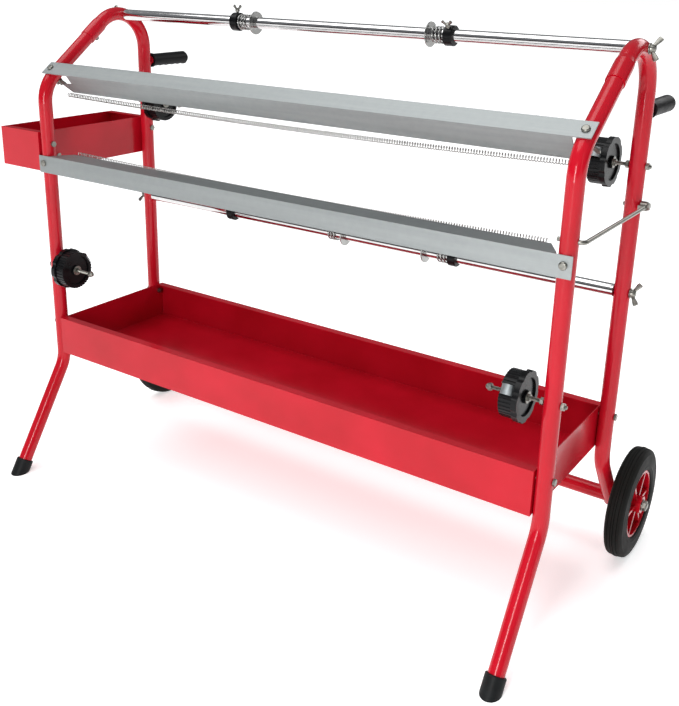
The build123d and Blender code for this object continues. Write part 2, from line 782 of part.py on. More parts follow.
# Each tape holder: its tube, collar middle, ring middle, what its coil lies against,
# and how far its screw leans to the front.
tape_holders = {
    "top_left": ("top", -217.5, -174.5, "collar", 0.0),
    "top_right": ("top", 217.0, 181.0, "collar", 38.0),
    "lower_left": ("lower", -280.0, -7.0, "ring", 0.0),
    "lower_right": ("lower", 220.0, 164.0, "collar", 20.0),
}
loose_coil_gap = 12.0
for name, (tube_name, collar_x, ring_x, coil_by, lean) in tape_holders.items():
    axis_point = tape_axes[tube_name]
    toward = 1 if ring_x > collar_x else -1
    up = Vector(0, -sin(radians(lean)), cos(radians(lean)))

    with BuildPart() as collar:
        start = along_x(mid_x + collar_x - collar_width / 2, axis_point.Y, axis_point.Z)
        ring_along(start, collar_d / 2, tape_tube_d / 2 + running_fit, collar_width)
        chamfer(collar.edges().filter_by(GeomType.CIRCLE).group_by(SortBy.RADIUS)[-1], 1.2)
        with BuildSketch(
            Plane((mid_x + collar_x, axis_point.Y, axis_point.Z), x_dir=(1, 0, 0), z_dir=up)
        ):
            Circle(collar_screw_d / 2 + running_fit)
        extrude(amount=collar_d, mode=Mode.SUBTRACT)
    write(collar, f"{name}_collar")

    with BuildPart() as screw:
        tip = axis_point + up * (tape_tube_d / 2 + face_gap)
        foot = Plane((mid_x + collar_x, tip.Y, tip.Z), x_dir=(1, 0, 0), z_dir=up)
        screw_head = foot.offset((collar_d - tape_tube_d) / 2 + 1.5)
        with BuildSketch(foot):
            Circle(collar_screw_d / 2)
        extrude(amount=(collar_d - tape_tube_d) / 2 + 3)
        with BuildSketch(screw_head):
            Circle(4.0)
        extrude(amount=6.5)
        wings(screw_head, 4.0, 3.5, 9.5, 12.0, 2.2)
    write(screw, f"{name}_collar_screw")

    if coil_by == "collar":
        coil_start = collar_x + toward * (collar_width / 2 + coil_gap)
    else:
        coil_start = ring_x - toward * (ring_thickness / 2 + loose_coil_gap + coil_length)
    with BuildPart() as coil:
        ring_along(
            along_x(mid_x + coil_start, axis_point.Y, axis_point.Z, toward),
            coil_d / 2,
            coil_d / 2 - coil_wire,
            coil_length,
        )
    write(coil, f"{name}_coil_spring")

    with BuildPart() as ring:
        start = along_x(mid_x + ring_x - ring_thickness / 2, axis_point.Y, axis_point.Z)
        ring_along(start, ring_d / 2, tape_tube_d / 2 + loose_fit, ring_thickness)
        fillet(ring.edges().filter_by(GeomType.CIRCLE).group_by(SortBy.RADIUS)[-1], 0.8)
    write(ring, f"{name}_ring")

# ---------------------------------------------------------------- paper spool hubs
hub_insets = {"left": left_hub_inset, "right": right_hub_inset}
# Where each hub's leaf spring has come to rest, in degrees up from the front.
leaf_turns = {"upper_left": 200, "upper_right": 30, "lower_left": 150, "lower_right": 30}
with BuildPart() as spindles:
    for y, z in spindle_axes.values():
        for side, sign in sides.items():
            outer = side_x(side) + sign * (tube_r + m6_nut_height + seat_gap + spindle_tail)
            plane = along_x(outer, y, z, -sign)
            with BuildSketch(plane):
                Circle(spindle_d / 2)
            extrude(amount=spindle_length)
            tip = plane.offset(spindle_length - acorn_length)
            with BuildSketch(tip):
                RegularPolygon(m6_nut_width / 2, 6, major_radius=False)
            extrude(amount=acorn_length)
            with Locations(tip.offset(acorn_length).origin):
                Sphere(acorn_r)
write(spindles, "roll_spindles")

with BuildPart() as spindle_nuts:
    for y, z in spindle_axes.values():
        for side, sign in sides.items():
            for way in (1, -1):
                seat = side_x(side) + sign * way * (tube_r + seat_gap)
                height = m6_nut_height if way == 1 else jam_nut_height
                hex_nut(along_x(seat, y, z, sign * way), spindle_d + 2 * seat_gap, height=height)
write(spindle_nuts, "spindle_nuts")

for level, (y, z) in spindle_axes.items():
    for side, sign in sides.items():
        name = f"{level}_{side}"
        leaf_turn = radians(leaf_turns[name])
        middle = side_x(side, hub_insets[side])
        outer = middle + sign * spool_width / 2
        inner = middle - sign * spool_width / 2
        inward = along_x(outer, y, z, -sign)

        with BuildPart() as spool:
            ring_along(inward, spool_flange_d / 2, spindle_d / 2 + running_fit, spool_flange)
            with BuildSketch(inward):
                with PolarLocations(spool_flange_d / 2 + 9.0, spool_notch_count):
                    Circle(11.0)
            extrude(amount=spool_flange, mode=Mode.SUBTRACT)
            ring_along(inward, spool_d / 2, spindle_d / 2 + running_fit, spool_width)
            with BuildSketch(inward.offset(spool_flange)):
                with PolarLocations(spool_d / 2, spool_rib_count):
                    Circle(spool_rib_depth)
            extrude(amount=spool_width, mode=Mode.SUBTRACT)
            # Flat seat for the leaf spring, cut into the drum.
            turn = degrees(atan2(-sign * sin(leaf_turn), -cos(leaf_turn)))
            seat_cut = 10.0
            with BuildSketch(inward.offset(spool_flange)):
                with PolarLocations(spool_d / 2 - leaf_seat_depth + seat_cut / 2, 1, turn):
                    Rectangle(seat_cut, leaf_width + 2)
            extrude(amount=spool_width, mode=Mode.SUBTRACT)
            # Shallow dish in each face round the hub.
            with BuildSketch(inward):
                Circle(spool_d / 2 - hub_dish_rim)
                Circle(hub_washer_d / 2 + 1, mode=Mode.SUBTRACT)
            extrude(amount=hub_dish, mode=Mode.SUBTRACT)
            with BuildSketch(inward.offset(spool_width - hub_dish)):
                Circle(spool_d / 2 - hub_dish_rim)
                Circle(hub_washer_d / 2 + 1, mode=Mode.SUBTRACT)
            extrude(amount=hub_dish, mode=Mode.SUBTRACT)
        write(spool, f"{name}_spool_hub")

        radial = Vector(0, -cos(leaf_turn), sin(leaf_turn))
        across = Plane((0, y, z), x_dir=(1, 0, 0), z_dir=Vector(1, 0, 0).cross(radial))
        with BuildPart() as leaf:
            with BuildSketch(across):
                with BuildLine():
                    xa = outer - sign * (spool_flange + 1)
                    xb = inner + sign * 1.0
                    xm = (xa + xb) / 2
                    foot = spool_d / 2 - leaf_seat_depth + seat_gap
                    crown = spool_d / 2 + leaf_rise
                    ThreePointArc((xa, foot), (xm, crown), (xb, foot))
                    Line((xb, foot), (xb, foot + leaf_thickness))
                    ThreePointArc(
                        (xb, foot + leaf_thickness),
                        (xm, crown + leaf_thickness),
                        (xa, foot + leaf_thickness),
                    )
                    Line((xa, foot + leaf_thickness), (xa, foot))
                make_face()
            extrude(amount=leaf_width / 2, both=True)
        write(leaf, f"{name}_leaf_spring")

        with BuildPart() as hub_nuts:
            outer_seat = along_x(outer + sign * face_gap, y, z, sign)
            ring_along(outer_seat, hub_washer_d / 2, spindle_d / 2 + running_fit, hub_washer)
            hex_nut(
                along_x(outer + sign * (face_gap + hub_washer), y, z, sign),
                spindle_d + 2 * running_fit,
                height=hub_nut_height,
            )
            inner_seat = Plane(
                (inner - sign * face_gap, y, z),
                x_dir=(0, sin(radians(20)), cos(radians(20))),
                z_dir=(-sign, 0, 0),
            )
            if side == "right":
                wing_nut(inner_seat, spindle_d + 2 * running_fit)
            else:
                ring_along(inner_seat, hub_washer_d / 2, spindle_d / 2 + running_fit, hub_washer)
                hex_nut(inner_seat.offset(hub_washer), spindle_d + 2 * running_fit)
        write(hub_nuts, f"{name}_hub_nuts")

# ---------------------------------------------------------------- side brace
brace_x = side_x("right") + tube_r + brace_reach
with BuildPart() as brace:
    with BuildLine(Plane.XY.offset(brace_height)) as path:
        FilletPolyline(
            (side_x("right") - tube_r - 4, front_y),
            (brace_x, front_y),
            (brace_x, rear_y - 14),
            radius=[brace_bend_r],
        )
    with BuildSketch(Plane(path.line ^ 0)):
        Circle(brace_d / 2)
    sweep(path=path.line)
    eye_x = side_x("right") + tube_r + seat_gap
    with BuildSketch(Plane.YZ.offset(eye_x)):
        with Locations((rear_y, brace_height)):
            Circle(brace_eye_d / 2)
        with Locations((rear_y - 9, brace_height)):
            Rectangle(18, 8)
    extrude(amount=brace_reach + 1.5)
    with BuildSketch(Plane.YZ.offset(eye_x + brace_reach + 1.5)):
        with Locations((rear_y, brace_height)):
            RegularPolygon(m6_nut_width / 2, 6, major_radius=False)
    extrude(amount=3.5)
    with BuildSketch(Plane.YZ.offset(eye_x)):
        with Locations((rear_y, brace_height)):
            Circle(m6 / 2)
    extrude(amount=-(tube_d + 2))
write(brace, "brace_rod")

print(f"middle of the frame x {mid_x:.2f}, front tubes y {front_y:.2f}, rear tubes y {rear_y:.2f}")
print(f"axle y {axle_y:.2f} z {axle_z:.2f}, axle half length {axle_half:.2f}")
print(f"top of the arch {arch_center.Z + arch_r + tube_r:.2f}")
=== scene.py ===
"""Looks of the masking-paper dispenser trolley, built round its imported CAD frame."""

import json
from math import cos, pi, radians, sin, tau

import bmesh
import bpy
from mathutils import Euler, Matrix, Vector


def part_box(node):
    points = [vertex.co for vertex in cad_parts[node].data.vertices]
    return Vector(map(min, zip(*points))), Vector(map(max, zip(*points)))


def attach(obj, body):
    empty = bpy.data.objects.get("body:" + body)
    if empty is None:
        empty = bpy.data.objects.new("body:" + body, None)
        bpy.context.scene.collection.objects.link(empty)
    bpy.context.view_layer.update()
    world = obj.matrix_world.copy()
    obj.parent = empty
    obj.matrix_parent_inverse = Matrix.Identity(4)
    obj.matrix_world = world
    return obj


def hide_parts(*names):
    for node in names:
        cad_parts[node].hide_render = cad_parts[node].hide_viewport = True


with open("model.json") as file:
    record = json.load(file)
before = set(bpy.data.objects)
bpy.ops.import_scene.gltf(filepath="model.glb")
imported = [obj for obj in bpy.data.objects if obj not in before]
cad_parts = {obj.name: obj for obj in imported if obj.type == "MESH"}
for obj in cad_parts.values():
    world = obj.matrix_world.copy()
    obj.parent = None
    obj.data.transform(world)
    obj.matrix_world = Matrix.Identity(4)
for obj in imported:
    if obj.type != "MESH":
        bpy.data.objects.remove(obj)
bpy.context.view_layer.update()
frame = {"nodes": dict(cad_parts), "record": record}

MM = 0.001
ALONG_X = Vector((1, 0, 0))
SIDES = {"left": -1.0, "right": 1.0}
LEVELS = ("upper", "lower")
HOLDERS = ("top_left", "top_right", "lower_left", "lower_right")
bodies_of = {
    node: body
    for body, members in frame["record"]["behaviour"]["bodies"].items()
    for node in members
}
slot_of = {s["node"]: s["material_slot"] for s in frame["record"]["subparts"]}


def centre(node):
    """Middle of a CAD node's box."""
    low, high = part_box(node)
    return (low + high) / 2


# ---------------------------------------------------------------- materials
def new_material(name):
    """A fresh material with its node tree, Principled shader and object coordinates."""
    material = bpy.data.materials.new(name)
    material.use_nodes = True
    tree = material.node_tree
    shader = tree.nodes["Principled BSDF"]
    place = tree.nodes.new("ShaderNodeTexCoord").outputs["Object"]
    return material, tree, shader, place


def noise(tree, place, scale, detail=3.0, roughness=0.55, stretch=(1, 1, 1)):
    """Noise factor output at a scale in waves per metre."""
    mapping = tree.nodes.new("ShaderNodeMapping")
    mapping.inputs["Scale"].default_value = stretch
    tree.links.new(place, mapping.inputs["Vector"])
    node = tree.nodes.new("ShaderNodeTexNoise")
    node.inputs["Scale"].default_value = scale
    node.inputs["Detail"].default_value = detail
    node.inputs["Roughness"].default_value = roughness
    tree.links.new(mapping.outputs["Vector"], node.inputs["Vector"])
    return node.outputs["Fac"]


def ramp(tree, factor, stops):
    """Colour ramp over a factor; stops are (position, colour)."""
    node = tree.nodes.new("ShaderNodeValToRGB")
    elements = node.color_ramp.elements
    while len(elements) < len(stops):
        elements.new(0.5)
    for element, (position, colour) in zip(elements, stops):
        element.position = position
        element.color = (*colour, 1.0)
    tree.links.new(factor, node.inputs["Fac"])
    return node.outputs["Color"]


def spread(tree, factor, low, high):
    """Map a 0..1 factor to a range of values."""
    node = tree.nodes.new("ShaderNodeMapRange")
    node.inputs["From Min"].default_value = 0.25
    node.inputs["From Max"].default_value = 0.75
    node.inputs["To Min"].default_value = low
    node.inputs["To Max"].default_value = high
    tree.links.new(factor, node.inputs["Value"])
    return node.outputs["Result"]


def bump(tree, shader, height, strength, distance):
    """Bump the shader's normal with a height."""
    node = tree.nodes.new("ShaderNodeBump")
    node.inputs["Strength"].default_value = strength
    node.inputs["Distance"].default_value = distance
    tree.links.new(height, node.inputs["Height"])
    tree.links.new(node.outputs["Normal"], shader.inputs["Normal"])


def red_powder_coat(name):
    """Glossy red powder coat with a faint orange peel and duller patches."""
    material, tree, shader, place = new_material(name)
    deep, bright = (0.44, 0.004, 0.012), (0.56, 0.006, 0.020)
    tone = ramp(tree, noise(tree, place, 7.0), [(0.3, deep), (0.7, bright)])
    tree.links.new(tone, shader.inputs["Base Color"])
    gloss = spread(tree, noise(tree, place, 18.0, 4.0), 0.16, 0.25)
    tree.links.new(gloss, shader.inputs["Roughness"])
    shader.inputs["Specular IOR Level"].default_value = 0.24
    shader.inputs["Coat Weight"].default_value = 0.12
    shader.inputs["Coat Roughness"].default_value = 0.05
    bump(tree, shader, noise(tree, place, 420.0, 2.0), 0.035, 0.0005)
    return material


def galvanised(name):
    """Zinc-dipped sheet: soft spangle, long rolling streaks and scuffs."""
    material, tree, shader, place = new_material(name)
    spangle = tree.nodes.new("ShaderNodeTexVoronoi")
    spangle.inputs["Scale"].default_value = 95.0
    tree.links.new(place, spangle.inputs["Vector"])
    streaks = noise(tree, place, 60.0, 5.0, 0.7, (0.04, 1, 1))
    mix = tree.nodes.new("ShaderNodeMix")
    mix.inputs["Factor"].default_value = 0.85
    tree.links.new(spangle.outputs["Distance"], mix.inputs["A"])
    tree.links.new(streaks, mix.inputs["B"])
    blend = mix.outputs["Result"]
    tone = ramp(tree, blend, [(0.2, (0.27, 0.29, 0.29)), (0.75, (0.37, 0.39, 0.39))])
    tree.links.new(tone, shader.inputs["Base Color"])
    shader.inputs["Metallic"].default_value = 0.85
    tree.links.new(spread(tree, blend, 0.42, 0.56), shader.inputs["Roughness"])
    bump(tree, shader, streaks, 0.10, 0.0005)
    return material


def bright_metal(name, dark, light, rough, grain):
    """Plated steel with a slightly uneven polish."""
    material, tree, shader, place = new_material(name)
    patches = noise(tree, place, grain, 4.0, 0.65)
    tone = ramp(tree, patches, [(0.3, dark), (0.7, light)])
    tree.links.new(tone, shader.inputs["Base Color"])
    shader.inputs["Metallic"].default_value = 1.0
    tree.links.new(spread(tree, patches, *rough), shader.inputs["Roughness"])
    bump(tree, shader, noise(tree, place, grain * 6, 2.0), 0.05, 0.0003)
    return material


def dark_polymer(name, dark, light, rough, grain, relief, specular=0.12):
    """Moulded plastic or rubber with a fine skin."""
    material, tree, shader, place = new_material(name)
    patches = noise(tree, place, 25.0, 4.0)
    tone = ramp(tree, patches, [(0.3, dark), (0.75, light)])
    tree.links.new(tone, shader.inputs["Base Color"])
    tree.links.new(spread(tree, patches, *rough), shader.inputs["Roughness"])
    shader.inputs["Specular IOR Level"].default_value = specular
    bump(tree, shader, noise(tree, place, grain, 3.0), relief, 0.0006)
    return material


# Each finish: its name, darkest and lightest colour, range of roughness, and grain in waves
# per metre. Polymers add the relief of their skin and, for the glossier one, its specular level.
METALS = {
    "zinc_plate": ("zinc_plate", (0.17, 0.17, 0.15), (0.34, 0.33, 0.30), (0.26, 0.42), 160.0),
    "chrome": ("chrome_plate", (0.62, 0.61, 0.61), (0.76, 0.75, 0.75), (0.05, 0.11), 30.0),
    "spring_steel": ("bright_wire", (0.26, 0.25, 0.24), (0.44, 0.43, 0.41), (0.20, 0.34), 220.0),
    "polished_wire": ("polished_wire", (0.28, 0.28, 0.27), (0.40, 0.40, 0.39), (0.20, 0.28), 40.0),
    "blued_steel": ("leaf_steel", (0.30, 0.33, 0.34), (0.44, 0.47, 0.48), (0.42, 0.56), 140.0),
}
POLYMERS = {
    "black_plastic": (
        "black_moulding", (0.002, 0.002, 0.0025), (0.006, 0.006, 0.007), (0.22, 0.34),
        900.0, 0.08, 0.18,
    ),
    "rubber": (
        "cap_rubber", (0.005, 0.006, 0.006), (0.014, 0.015, 0.016), (0.38, 0.55), 500.0, 0.15,
    ),
    "grip_vinyl": (
        "grip_vinyl", (0.004, 0.004, 0.0045), (0.011, 0.011, 0.012), (0.40, 0.58), 700.0, 0.22,
    ),
    "tyre": (
        "tyre_rubber", (0.003, 0.003, 0.0027), (0.008, 0.008, 0.0065), (0.50, 0.72), 380.0, 0.25,
    ),
}
materials = {
    "red_paint": red_powder_coat("red_powder_coat"),
    "galvanised_sheet": galvanised("galvanised_steel"),
}
materials |= {key: bright_metal(*finish) for key, finish in METALS.items()}
materials |= {key: dark_polymer(*finish) for key, finish in POLYMERS.items()}


def finish_piece(piece, nodes, slot, material=None):
    """Material, body and replaced CAD nodes of a new piece; the slot picks the material unless one
    is given.
    """
    piece.data.materials.clear()
    piece.data.materials.append(materials[material or slot])
    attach(piece, bodies_of[nodes[0]])
    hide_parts(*nodes)
    return piece


# ---------------------------------------------------------------- mesh tools
def mesh_object(name, vertices, faces, smooth_angle=35.0):
    """Object from vertices and faces, shaded smooth below the angle."""
    mesh = bpy.data.meshes.new(name)
    mesh.from_pydata([tuple(v) for v in vertices], [], faces)
    mesh.validate()
    work = bmesh.new()
    work.from_mesh(mesh)
    bmesh.ops.recalc_face_normals(work, faces=work.faces)
    work.to_mesh(mesh)
    work.free()
    shade(mesh, smooth_angle)
    piece = bpy.data.objects.new(name, mesh)
    bpy.context.scene.collection.objects.link(piece)
    return piece


def shade(mesh, angle):
    """Smooth faces, sharp edges above the angle."""
    mesh.polygons.foreach_set("use_smooth", [True] * len(mesh.polygons))
    mesh.set_sharp_from_angle(angle=radians(angle))


def join(name, pieces, smooth_angle=35.0):
    """One object out of several."""
    vertices, faces = [], []
    for piece in pieces:
        first = len(vertices)
        vertices += [v.co.copy() for v in piece.data.vertices]
        faces += [[first + i for i in p.vertices] for p in piece.data.polygons]
        mesh = piece.data
        bpy.data.objects.remove(piece)
        bpy.data.meshes.remove(mesh)
    return mesh_object(name, vertices, faces, smooth_angle)


def basis(axis, hint=Vector((0, 0, 1))):
    """Two unit vectors square to the axis, the first as near to the hint as can be."""
    axis = axis.normalized()
    if abs(axis.dot(hint.normalized())) > 0.99:
        hint = Vector((1, 0, 0)) if abs(axis.x) < 0.9 else Vector((0, 1, 0))
    first = (hint - axis * hint.dot(axis)).normalized()
    return first, axis.cross(first)


def bridge(rows, closed=False):
    """Quads between neighbouring rows of points, with end caps unless the rows close up."""
    pairs = list(zip(rows, rows[1:])) + ([(rows[-1], rows[0])] if closed else [])
    faces = []
    for low, high in pairs:
        for k in range(len(low)):
            n = (k + 1) % len(low)
            faces.append([low[k], low[n], high[n], high[k]])
    return faces if closed else faces + [rows[0][::-1], rows[-1]]


def lathe(name, origin, axis, profile, segments=64, closed=False, smooth_angle=35.0):
    """Turn a profile of (along, radius) points round an axis. Radius 0 makes a pole."""
    axis = axis.normalized()
    first, second = basis(axis)
    vertices, rows = [], []
    for along, radius in profile:
        at = origin + axis * along
        if radius < 1e-9:
            rows.append([len(vertices)] * segments)
            vertices.append(at)
            continue
        rows.append(list(range(len(vertices), len(vertices) + segments)))
        for k in range(segments):
            turn = tau * k / segments
            vertices.append(at + (first * cos(turn) + second * sin(turn)) * radius)
    pairs = list(zip(rows, rows[1:])) + ([(rows[-1], rows[0])] if closed else [])
    faces = []
    for low, high in pairs:
        for k in range(segments):
            n = (k + 1) % segments
            quad = [low[k], low[n], high[n], high[k]]
            faces.append(list(dict.fromkeys(quad)))
    return mesh_object(name, vertices, [f for f in faces if len(f) > 2], smooth_angle)


def tube(name, points, radius, sides):
    """Round wire along points, with flat ends."""
    points = [Vector(p) for p in points]
    tangents = [(points[1] - points[0]).normalized()]
    tangents += [(b - a).normalized() for a, b in zip(points, points[2:])]
    tangents.append((points[-1] - points[-2]).normalized())
    normal = basis(tangents[0])[0]
    vertices, rows = [], []
    for point, tangent in zip(points, tangents):
        normal = (normal - tangent * normal.dot(tangent)).normalized()
        other = tangent.cross(normal)
        rows.append(list(range(len(vertices), len(vertices) + sides)))
        for k in range(sides):
            turn = tau * k / sides
            vertices.append(point + (normal * cos(turn) + other * sin(turn)) * radius)
    return mesh_object(name, vertices, bridge(rows), 60.0)


def helix(start, axis, length, radius, turns, steps, sag=0.0):
    """Points of a coil along an axis; sag lowers the middle in a shallow arc."""
    axis = axis.normalized()
    first, second = basis(axis)
    count = int(turns * steps)
    points = []
    for k in range(count + 1):
        share = k / count
        turn = tau * turns * share
        drop = Vector((0, 0, -4.0 * sag * share * (1 - share)))
        at = start + axis * (length * share) + drop
        points.append(at + (first * cos(turn) + second * sin(turn)) * radius)
    return points


def softened(node, width, segments=2, limit=38.0):
    """Copy of a CAD node with its edges rounded, as bent and painted metal has them."""
    mesh = frame["nodes"][node].data.copy()
    piece = bpy.data.objects.new(node + "_finished", mesh)
    bpy.context.scene.collection.objects.link(piece)
    work = bmesh.new()
    work.from_mesh(mesh)
    bmesh.ops.remove_doubles(work, verts=work.verts, dist=1e-6)
    bmesh.ops.dissolve_limit(
        work, angle_limit=radians(0.5), verts=work.verts, edges=work.edges
    )
    work.to_mesh(mesh)
    work.free()
    modifier = piece.modifiers.new("round_edges", "BEVEL")
    modifier.width = width
    modifier.segments = segments
    modifier.limit_method = "ANGLE"
    modifier.angle_limit = radians(limit)
    modifier.use_clamp_overlap = True
    depsgraph = bpy.context.evaluated_depsgraph_get()
    done = bpy.data.meshes.new_from_object(piece.evaluated_get(depsgraph))
    piece.modifiers.clear()
    piece.data = done
    bpy.data.meshes.remove(mesh)
    shade(done, 32.0)
    # Broad faces keep flat normals; only the rounded edges turn.
    weighted = piece.modifiers.new("flat_faces", "WEIGHTED_NORMAL")
    weighted.keep_sharp = True
    depsgraph = bpy.context.evaluated_depsgraph_get()
    piece.data = bpy.data.meshes.new_from_object(piece.evaluated_get(depsgraph))
    piece.modifiers.clear()
    bpy.data.meshes.remove(done)
    return finish_piece(piece, [node], slot_of[node])


# ---------------------------------------------------------------- hardware forms
def hexagon(origin, axis, across, height, hint=Vector((0, 0, 1)), hole=0.0):
    """Hexagon nut with chamfered corners and an optional bore."""
    axis = axis.normalized()
    first, second = basis(axis, hint)
    flat = across / 2
    corner = flat / cos(pi / 6)
    cut = (corner - flat) * 0.9
    rim = 0.4 * MM  # countersink of the bore
    vertices, rows = [], []
    steps = 24
    outline = [
        (0.0, -cut * 0.9),
        (cut * 0.55, 0.0),
        (height - cut * 0.55, 0.0),
        (height, -cut * 0.9),
    ]
    for along, change in outline:
        row = []
        for k in range(steps):
            turn = tau * k / steps
            to_flat = flat / cos((turn + pi / 6) % (pi / 3) - pi / 6)
            reach = min(to_flat, corner + change)
            row.append(len(vertices))
            vertices.append(
                origin + axis * along + (first * cos(turn) + second * sin(turn)) * reach
            )
        rows.append(row)
    if hole > 0:
        for along in (height, height - rim, 0.0):
            wide = hole + (rim if along in (height, 0.0) else 0.0)
            row = []
            for k in range(steps):
                turn = tau * k / steps
                row.append(len(vertices))
                vertices.append(
                    origin + axis * along + (first * cos(turn) + second * sin(turn)) * wide
                )
            rows.append(row)
    return mesh_object("hexagon", vertices, bridge(rows, hole > 0), 25.0)


def wing_pair(origin, axis, spread_dir, root, base, span, rise, width, thickness):
    """Two stamped wings: flat rounded paddles that lean out and up from a boss.

    They start at root and base, out from the axis and along it, and end at span and rise.
    """
    axis = axis.normalized()
    spread_dir = (spread_dir - axis * spread_dir.dot(axis)).normalized()
    through = axis.cross(spread_dir)
    # Share of the wing's length, and its width there as a share of the whole.
    stations = [(0.0, 0.62), (0.35, 0.72), (0.7, 0.98), (0.92, 1.0), (0.985, 0.86), (1.0, 0.62)]
    steps = 16
    squareness = 3.2  # 2 is an ellipse, more is nearer a rectangle
    pieces = []
    for sign in (-1.0, 1.0):
        inner = spread_dir * (sign * root * 0.6) + axis * base
        outer = spread_dir * (sign * span) + axis * rise
        along = (outer - inner).normalized()
        across = through.cross(along).normalized()
        length = (outer - inner).length
        vertices, rows = [], []
        for share, wide in stations:
            row = []
            for k in range(steps):
                turn = tau * k / steps
                x = abs(cos(turn)) ** (2 / squareness) * (1 if cos(turn) >= 0 else -1)
                y = abs(sin(turn)) ** (2 / squareness) * (1 if sin(turn) >= 0 else -1)
                row.append(len(vertices))
                vertices.append(
                    origin
                    + inner
                    + along * (length * share)
                    + across * (x * width * wide / 2)
                    + through * (y * thickness / 2 * (1.25 - 0.3 * share))
                )
            rows.append(row)
        pieces.append(mesh_object("wing", vertices, bridge(rows), 50.0))
    return pieces


def threaded(origin, axis, length, radius, pitch=1.0 * MM, depth=0.45 * MM, sides=18):
    """Threaded rod: a surface whose radius follows the thread as it turns."""
    axis = axis.normalized()
    first, second = basis(axis)
    rows_per_turn = 5
    count = int(length / pitch * rows_per_turn)
    vertices, rows = [], []
    for i in range(count + 1):
        along = length * i / count
        ends = min(1.0, min(along, length - along) / (1.2 * pitch))
        row = []
        for k in range(sides):
            share = (along / pitch - k / sides) % 1.0
            cut = abs(share - 0.5) * 2.0
            reach = radius - depth * cut - (1.0 - ends) * depth
            turn = tau * k / sides
            row.append(len(vertices))
            vertices.append(
                origin + axis * along + (first * cos(turn) + second * sin(turn)) * reach
            )
        rows.append(row)
    return mesh_object("thread", vertices, bridge(rows), 50.0)


# ---------------------------------------------------------------- CAD nodes kept as they are
for node, thing in frame["nodes"].items():
    key = slot_of[node]
    if node.endswith("leaf_spring"):
        key = "blued_steel"
    elif node.endswith("_ring"):
        key = "polished_wire"
    thing.data.materials.clear()
    thing.data.materials.append(materials[key])
    shade(thing.data, 30.0)

# ---------------------------------------------------------------- sheet metal and mouldings
for node in ("main_tray", "side_tray"):
    softened(node, 0.7 * MM)
for node in ("upper_cutter_bar", "lower_cutter_bar"):
    softened(node, 0.5 * MM)
for side in SIDES:
    softened(f"{side}_foot_cap", 1.2 * MM, 3)
    softened(f"{side}_grip", 0.9 * MM, 3, 15.0)
    softened(f"{side}_rim", 0.8 * MM, 3)
    for level in LEVELS:
        softened(f"{level}_{side}_spool_hub", 0.35 * MM)
for node in ("tray_bolts", "tray_nuts", "cutter_bar_bolts", "frame_joint_screws", "axle_nuts"):
    softened(node, 0.4 * MM)
for name in HOLDERS:
    softened(f"{name}_collar", 0.35 * MM)

# ---------------------------------------------------------------- tyres
TYRE_HEIGHT = 37.4 * MM  # from the rim seat to the tread
for side in SIDES:
    node = f"{side}_tyre"
    low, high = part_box(node)
    wide = (high.x - low.x) / 2
    tall = (high.z - low.z) / 2
    seat = tall - TYRE_HEIGHT
    # One side, from the rim seat over the sidewall to the tread with its grooves.
    half_profile = [
        (wide - 3.0 * MM, seat),
        (wide - 1.0 * MM, seat + 2.0 * MM),
        (wide - 0.5 * MM, seat + 6.0 * MM),
        (wide, seat + 7.0 * MM),
        (wide - 0.4 * MM, seat + 8.0 * MM),
        (wide - 0.1 * MM, seat + 14.0 * MM),
        (wide - 0.5 * MM, seat + 22.0 * MM),
        (wide - 1.1 * MM, seat + 27.0 * MM),
        (wide - 0.9 * MM, seat + 28.0 * MM),
        (wide - 1.5 * MM, seat + 29.0 * MM),
        (wide - 2.6 * MM, seat + 32.5 * MM),
        (wide - 4.4 * MM, seat + 34.9 * MM),
        (wide - 6.5 * MM, tall - 1.6 * MM),
        (wide - 8.0 * MM, tall - 1.35 * MM),
        (wide - 8.4 * MM, tall - 2.3 * MM),
        (wide - 9.2 * MM, tall - 2.3 * MM),
        (wide - 9.6 * MM, tall - 1.15 * MM),
        (2.6 * MM, tall - 0.7 * MM),
        (2.3 * MM, tall - 1.7 * MM),
        (1.5 * MM, tall - 1.7 * MM),
        (1.2 * MM, tall),
    ]
    profile = half_profile + [(-along, radius) for along, radius in reversed(half_profile)]
    tyre = lathe(node + "_moulded", centre(node), ALONG_X, profile, 128, True, 28.0)
    finish_piece(tyre, [node], "tyre")

# ---------------------------------------------------------------- spindles, nuts and wing screws
M6 = 6.0 * MM
HEX_ACROSS = 10.0 * MM  # flats of the M6 nuts
NUT_HEIGHT = 5.0 * MM
TUBE_R = 12.7 * MM
SEAT = 0.1 * MM  # clearance between touching parts
SPINDLE = 118.0 * MM
ACORN = 5.0 * MM  # hexagon of the acorn end
DOME = 4.6 * MM
tube_x = {side: centre(f"{side}_rear_tube").x for side in SIDES}
outwards = {side: Vector((sign, 0, 0)) for side, sign in SIDES.items()}
spindle_low, spindle_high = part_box("roll_spindles")

